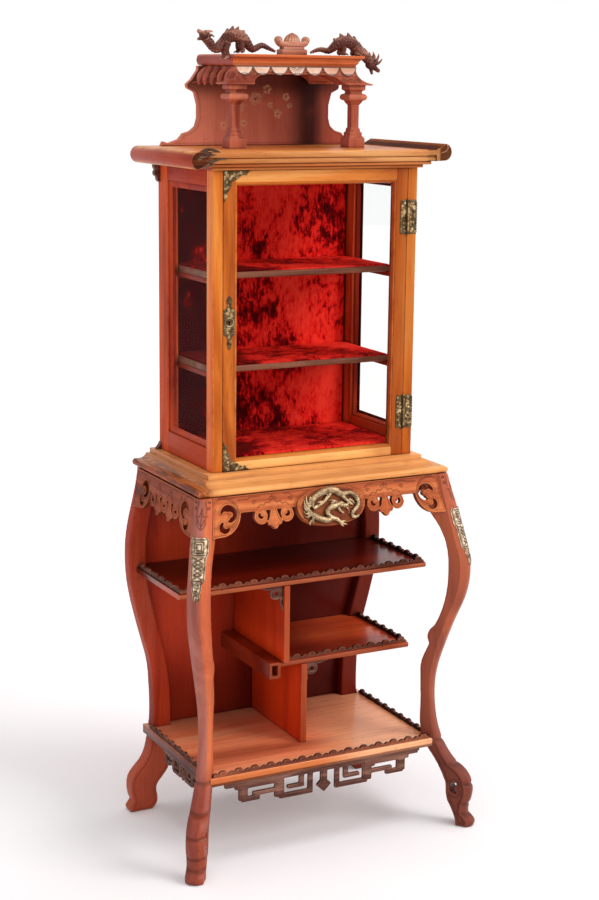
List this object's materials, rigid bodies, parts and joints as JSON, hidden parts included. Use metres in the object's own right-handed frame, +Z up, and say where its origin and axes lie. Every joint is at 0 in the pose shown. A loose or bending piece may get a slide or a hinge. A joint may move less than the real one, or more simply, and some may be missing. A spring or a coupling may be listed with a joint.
{
  "type": "display cabinet on stand",
  "caption": "Glazed display cabinet with a hinged door on a cabriole stand with open shelves, under a small roofed shrine with carved dragons.",
  "frame": {"origin": "on the floor, under the middle of the footprint's box", "axes": "+Z up, the door's side faces -Y, +X to the right of someone who faces the door"},
  "size_m": [0.7196, 0.4426, 1.7387],
  "materials": {
    "honey_wood": "satin varnish",
    "red_wood": "satin varnish",
    "dark_wood": "worn varnish",
    "pale_wood": "satin varnish",
    "velvet": "crushed pile",
    "brass": "aged",
    "glass": "clear"
  },
  "bodies": {
    "case": {"front_left_leg": "red_wood", "front_right_leg": "red_wood", "back_left_leg": "red_wood", "back_right_leg": "red_wood", "leg_mounts": "brass", "stand_back_panel": "red_wood", "front_apron": "honey_wood", "left_side_apron": "red_wood", "right_side_apron": "red_wood", "apron_dragon_mount": "brass", "base_moulding": "honey_wood", "upper_shelf": "red_wood", "upper_shelf_gallery": "dark_wood", "middle_shelf": "red_wood", "middle_shelf_gallery": "dark_wood", "bottom_shelf": "red_wood", "bottom_shelf_gallery": "dark_wood", "upper_divider": "red_wood", "lower_divider": "red_wood", "upper_divider_bracket": "dark_wood", "lower_divider_bracket": "dark_wood", "front_lower_fret": "dark_wood", "side_lower_frets": "dark_wood", "front_posts": "honey_wood", "back_posts": "red_wood", "side_top_rails": "red_wood", "side_bottom_rails": "red_wood", "side_glass_panes": "glass", "side_glass_beads": "red_wood", "case_floor": "red_wood", "floor_velvet": "velvet", "case_ceiling": "red_wood", "case_back_board": "red_wood", "back_velvet": "velvet", "case_shelves": "red_wood", "shelf_velvets": "velvet", "shelf_battens": "red_wood", "back_corner_brackets": "dark_wood", "cornice_moulding": "honey_wood", "top_slab": "honey_wood", "hinge_case_leaves": "brass", "hinge_pins": "brass", "shrine_back_board": "red_wood", "shrine_columns": "red_wood", "roof_frieze": "red_wood", "frieze_scallops": "pale_wood", "roof_board": "honey_wood", "roof_finial": "red_wood", "left_dragon": "dark_wood", "right_dragon": "dark_wood"},
    "door": {"door_lock_stile": "honey_wood", "door_hinge_stile": "honey_wood", "door_rails": "honey_wood", "door_glass": "glass", "door_glass_beads": "honey_wood", "door_corner_mounts": "brass", "escutcheon": "brass", "lock_case": "brass", "hinge_door_leaves": "brass"},
    "bolt": {"lock_bolt": "brass"}
  },
  "joints": [
    {"name": "door_hinge", "type": "hinge", "parent": "case", "child": "door", "pos_m": [0.2155, -0.07651, 1.149], "axis": [0, 0, 1], "range_deg": [0, 150]},
    {"name": "bolt_slide", "type": "slide", "parent": "door", "child": "bolt", "axis": [-1, 0, 0], "range_m": [0, 0.008]}
  ]
}
